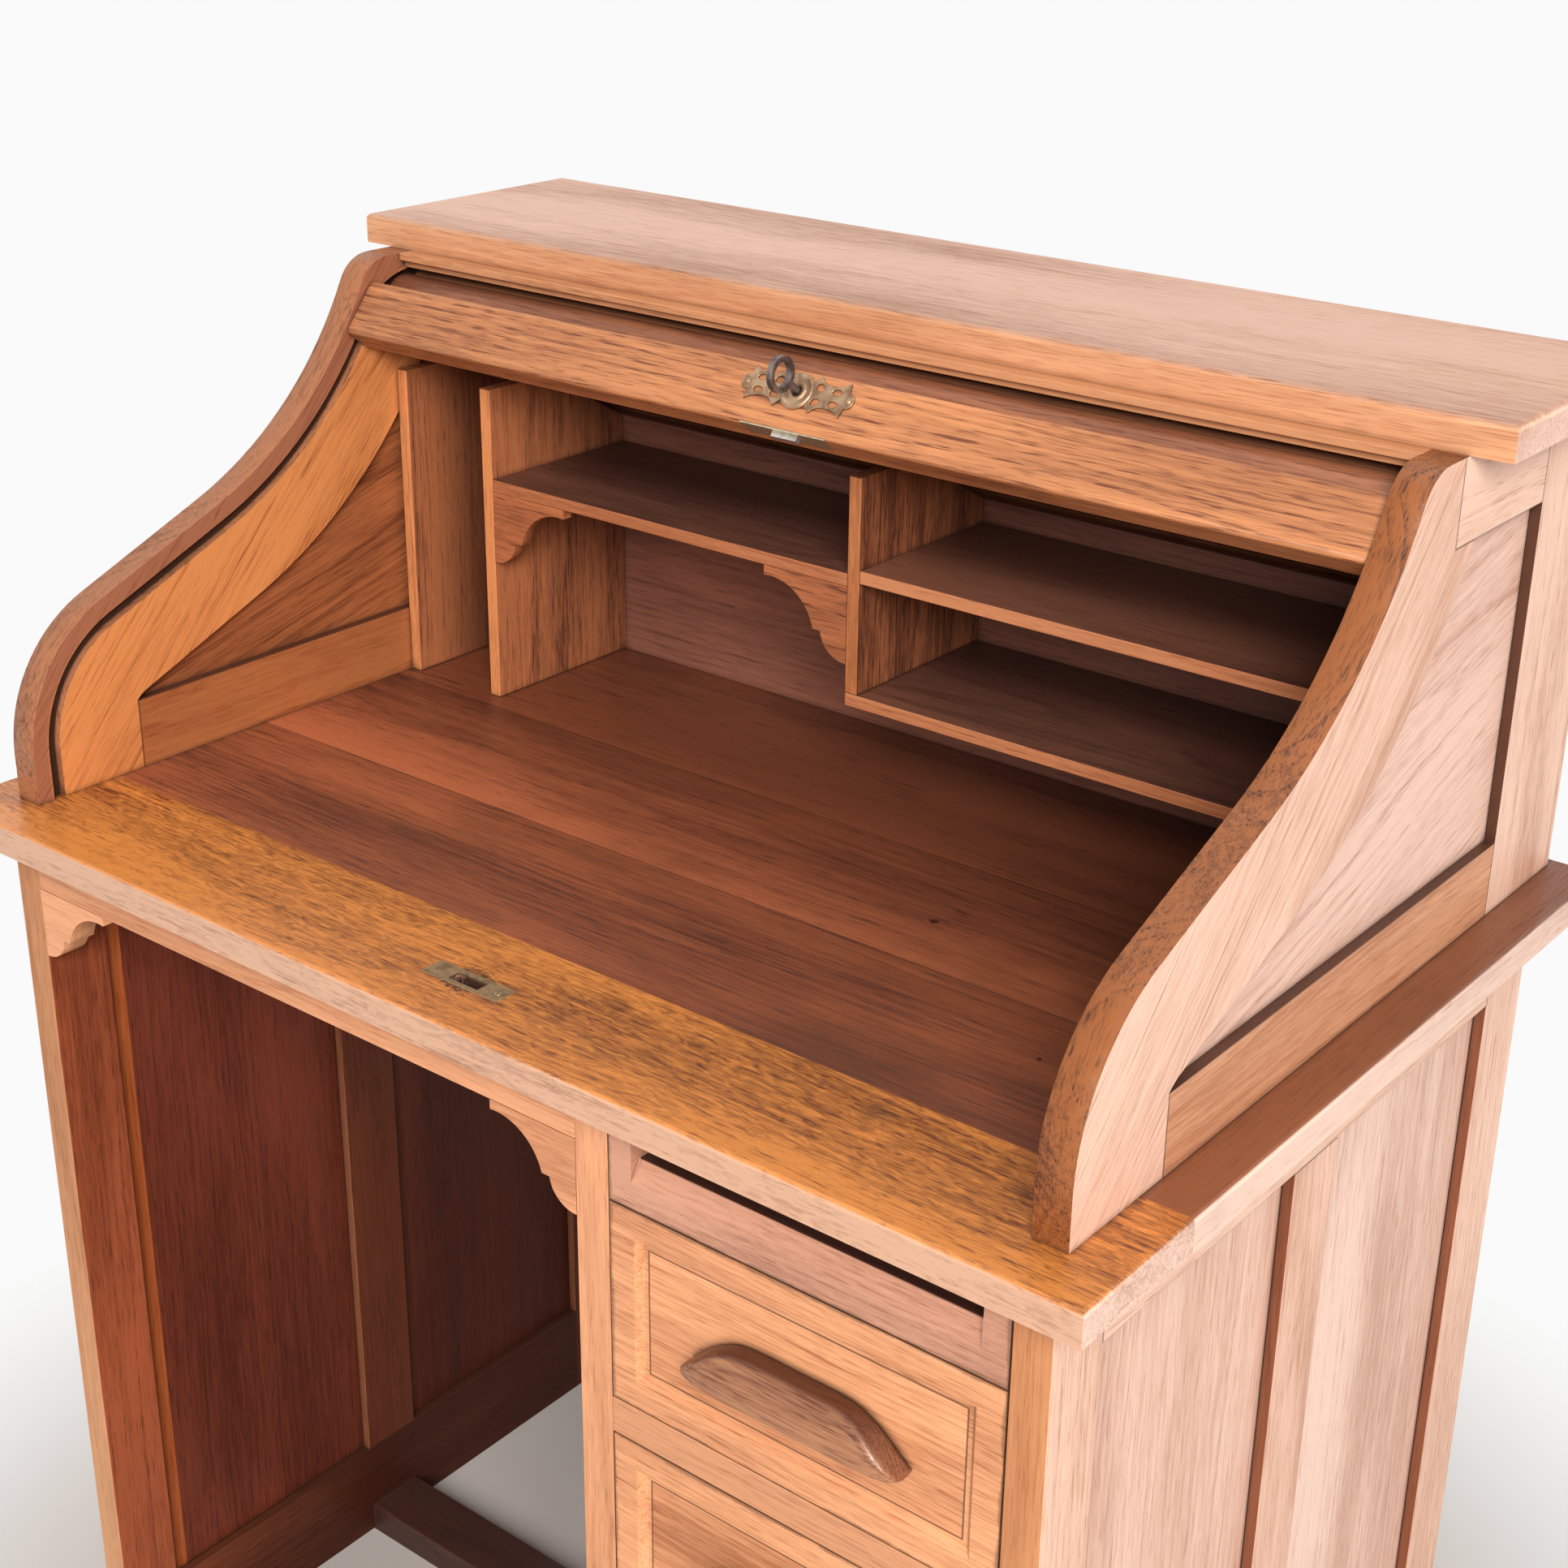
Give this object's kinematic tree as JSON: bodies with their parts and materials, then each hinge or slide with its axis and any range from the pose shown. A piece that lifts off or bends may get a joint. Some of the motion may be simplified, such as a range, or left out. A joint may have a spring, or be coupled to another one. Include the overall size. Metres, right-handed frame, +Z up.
{
  "type": "roll-top desk",
  "caption": "Oak roll-top desk with a curtain of slats in S-shaped sides, a gallery of compartments, a kneehole and a drawer pedestal with a pull-out writing slide.",
  "frame": {"origin": "middle of the floor rectangle under the desk, at floor level", "axes": "+Z up, +Y to the back, +X to the right of a person sitting at the desk"},
  "size_m": [0.91, 0.62, 1.1163],
  "materials": {
    "waxed_oak": "waxed satin",
    "golden_oak": "waxed satin, flaked",
    "plain_oak": "dull",
    "aged_brass": "dull, aged",
    "dark_steel": "worn"
  },
  "bodies": {
    "case": {"apron_rail": "waxed_oak", "back_rail": "waxed_oak", "cornice_rail": "waxed_oak", "deck_board": "waxed_oak", "deck_front_strip": "golden_oak", "drawer_rails": "waxed_oak", "drawer_runners": "plain_oak", "end_frame_left": "waxed_oak", "end_frame_right": "waxed_oak", "end_panels_left": "waxed_oak", "end_panels_right": "waxed_oak", "foot_stretcher": "waxed_oak", "gallery_back": "plain_oak", "gallery_brackets": "waxed_oak", "gallery_divider_left": "waxed_oak", "gallery_divider_middle": "waxed_oak", "gallery_end": "waxed_oak", "gallery_shelf_lower": "waxed_oak", "gallery_shelf_middle": "waxed_oak", "gallery_shelf_upper": "waxed_oak", "kneehole_brackets": "waxed_oak", "pedestal_back": "plain_oak", "pedestal_side": "waxed_oak", "strike_plate": "aged_brass", "top_board": "waxed_oak", "upper_back": "plain_oak", "upper_panel_left": "waxed_oak", "upper_panel_right": "waxed_oak", "upper_side_left": "waxed_oak", "upper_side_right": "waxed_oak"},
    "lock_rail": {"lock_rail": "waxed_oak", "escutcheon": "aged_brass", "lock_case": "aged_brass"},
    "key": {"key": "dark_steel"},
    "lock_bolt": {"lock_bolt": "dark_steel"},
    "slat_01": {"slat_01": "waxed_oak"},
    "slat_02": {"slat_02": "waxed_oak"},
    "slat_03": {"slat_03": "waxed_oak"},
    "slat_04": {"slat_04": "waxed_oak"},
    "slat_05": {"slat_05": "waxed_oak"},
    "slat_06": {"slat_06": "waxed_oak"},
    "slat_07": {"slat_07": "waxed_oak"},
    "slat_08": {"slat_08": "waxed_oak"},
    "slat_09": {"slat_09": "waxed_oak"},
    "slat_10": {"slat_10": "waxed_oak"},
    "slat_11": {"slat_11": "waxed_oak"},
    "slat_12": {"slat_12": "waxed_oak"},
    "slat_13": {"slat_13": "waxed_oak"},
    "slat_14": {"slat_14": "waxed_oak"},
    "slat_15": {"slat_15": "waxed_oak"},
    "drawer_1": {"drawer_1": "waxed_oak", "drawer_pull_1": "waxed_oak"},
    "drawer_2": {"drawer_2": "waxed_oak", "drawer_pull_2": "waxed_oak"},
    "drawer_3": {"drawer_3": "waxed_oak", "drawer_pull_3": "waxed_oak"},
    "drawer_4": {"drawer_4": "waxed_oak", "drawer_pull_4": "waxed_oak"},
    "writing_slide": {"slide_front": "waxed_oak", "slide_board": "plain_oak"}
  },
  "joints": [
    {"name": "curtain_roll", "type": "hinge", "parent": "case", "child": "lock_rail", "pos_m": [0, 0.26518, 0.48861], "axis": [1, 0, 0], "range_deg": [0, 38.43]},
    {"name": "slat_01_roll", "type": "hinge", "parent": "case", "child": "slat_01", "pos_m": [0, 0.13258, 0.65665], "axis": [1, 0, 0], "range_deg": [0, 57.92]},
    {"name": "slat_02_roll", "type": "hinge", "parent": "case", "child": "slat_02", "pos_m": [0, 0.14134, 0.64377], "axis": [1, 0, 0], "range_deg": [0, 55.92]},
    {"name": "slat_03_roll", "type": "hinge", "parent": "case", "child": "slat_03", "pos_m": [0, 0.18325, 0.57368], "axis": [1, 0, 0], "range_deg": [0, 47.23]},
    {"name": "slat_04_roll", "type": "hinge", "parent": "case", "child": "slat_04", "pos_m": [0, 0.20283, 0.53674], "axis": [1, 0, 0], "range_deg": [0, 43.66]},
    {"name": "slat_05_roll", "type": "hinge", "parent": "case", "child": "slat_05", "pos_m": [0, 0.15481, 0.63244], "axis": [1, 0, 0], "range_deg": [0, 55.11]},
    {"name": "slat_06_roll", "type": "hinge", "parent": "case", "child": "slat_06", "pos_m": [0, 0.12595, 0.69986], "axis": [1, 0, 0], "range_deg": [0, 67.19]},
    {"name": "slat_07_roll", "type": "hinge", "parent": "case", "child": "slat_07", "pos_m": [0, 0.10935, 0.74796], "axis": [1, 0, 0], "range_deg": [0, 79.37]},
    {"name": "slat_08_roll", "type": "hinge", "parent": "case", "child": "slat_08", "pos_m": [0, 0.10055, 0.78693], "axis": [1, 0, 0], "range_deg": [0, 92.13]},
    {"name": "slat_09_roll", "type": "hinge", "parent": "case", "child": "slat_09", "pos_m": [0, 0.09629, 0.82549], "axis": [1, 0, 0], "range_deg": [0, 109]},
    {"name": "slat_10_roll", "type": "hinge", "parent": "case", "child": "slat_10", "pos_m": [0, 0.09786, 0.85449], "axis": [1, 0, 0], "range_deg": [0, 124.72]},
    {"name": "slat_11_roll", "type": "hinge", "parent": "case", "child": "slat_11", "pos_m": [0, 0.10215, 0.87467], "axis": [1, 0, 0], "range_deg": [0, 138.33]},
    {"name": "slat_12_roll", "type": "hinge", "parent": "case", "child": "slat_12", "pos_m": [0, 0.10514, 0.88192], "axis": [1, 0, 0], "range_deg": [0, 144.16]},
    {"name": "slat_13_roll", "type": "hinge", "parent": "case", "child": "slat_13", "pos_m": [0, 0.10644, 0.88456], "axis": [1, 0, 0], "range_deg": [0, 146.41]},
    {"name": "slat_14_roll", "type": "hinge", "parent": "case", "child": "slat_14", "pos_m": [0, 0.10755, 0.88722], "axis": [1, 0, 0], "range_deg": [0, 148.66]},
    {"name": "slat_15_roll", "type": "hinge", "parent": "case", "child": "slat_15", "pos_m": [0, 0.10693, 0.8885], "axis": [1, 0, 0], "range_deg": [0, 149.92]},
    {"name": "bolt_throw", "type": "slide", "parent": "lock_rail", "child": "lock_bolt", "axis": [0, -0.6345, -0.7729], "range_m": [0, 0.006]},
    {"name": "key_turn", "type": "hinge", "parent": "lock_rail", "child": "key", "pos_m": [0, 0.04105, 1.06803], "axis": [0, -0.7729, 0.6345], "range_deg": [0, 180.5]},
    {"name": "drawer_1_slide", "type": "slide", "parent": "case", "child": "drawer_1", "axis": [0, -1, 0], "range_m": [0, 0.36]},
    {"name": "drawer_2_slide", "type": "slide", "parent": "case", "child": "drawer_2", "axis": [0, -1, 0], "range_m": [0, 0.36]},
    {"name": "drawer_3_slide", "type": "slide", "parent": "case", "child": "drawer_3", "axis": [0, -1, 0], "range_m": [0, 0.36]},
    {"name": "drawer_4_slide", "type": "slide", "parent": "case", "child": "drawer_4", "axis": [0, -1, 0], "range_m": [0, 0.36]},
    {"name": "writing_slide_pull", "type": "slide", "parent": "case", "child": "writing_slide", "axis": [0, -1, 0], "range_m": [0, 0.33]}
  ],
  "couplings": [
    {"joint": "slat_01_roll", "follows": "curtain_roll", "ratio": 1.5059},
    {"joint": "slat_02_roll", "follows": "curtain_roll", "ratio": 1.4539},
    {"joint": "slat_03_roll", "follows": "curtain_roll", "ratio": 1.2278},
    {"joint": "slat_04_roll", "follows": "curtain_roll", "ratio": 1.1347},
    {"joint": "slat_05_roll", "follows": "curtain_roll", "ratio": 1.4326},
    {"joint": "slat_06_roll", "follows": "curtain_roll", "ratio": 1.7471},
    {"joint": "slat_07_roll", "follows": "curtain_roll", "ratio": 2.064},
    {"joint": "slat_08_roll", "follows": "curtain_roll", "ratio": 2.3962},
    {"joint": "slat_09_roll", "follows": "curtain_roll", "ratio": 2.835},
    {"joint": "slat_10_roll", "follows": "curtain_roll", "ratio": 3.2442},
    {"joint": "slat_11_roll", "follows": "curtain_roll", "ratio": 3.5983},
    {"joint": "slat_12_roll", "follows": "curtain_roll", "ratio": 3.75},
    {"joint": "slat_13_roll", "follows": "curtain_roll", "ratio": 3.8086},
    {"joint": "slat_14_roll", "follows": "curtain_roll", "ratio": 3.8672},
    {"joint": "slat_15_roll", "follows": "curtain_roll", "ratio": 3.8998},
    {"joint": "key_turn", "follows": "bolt_throw", "rad_per_m": 523.6}
  ]
}
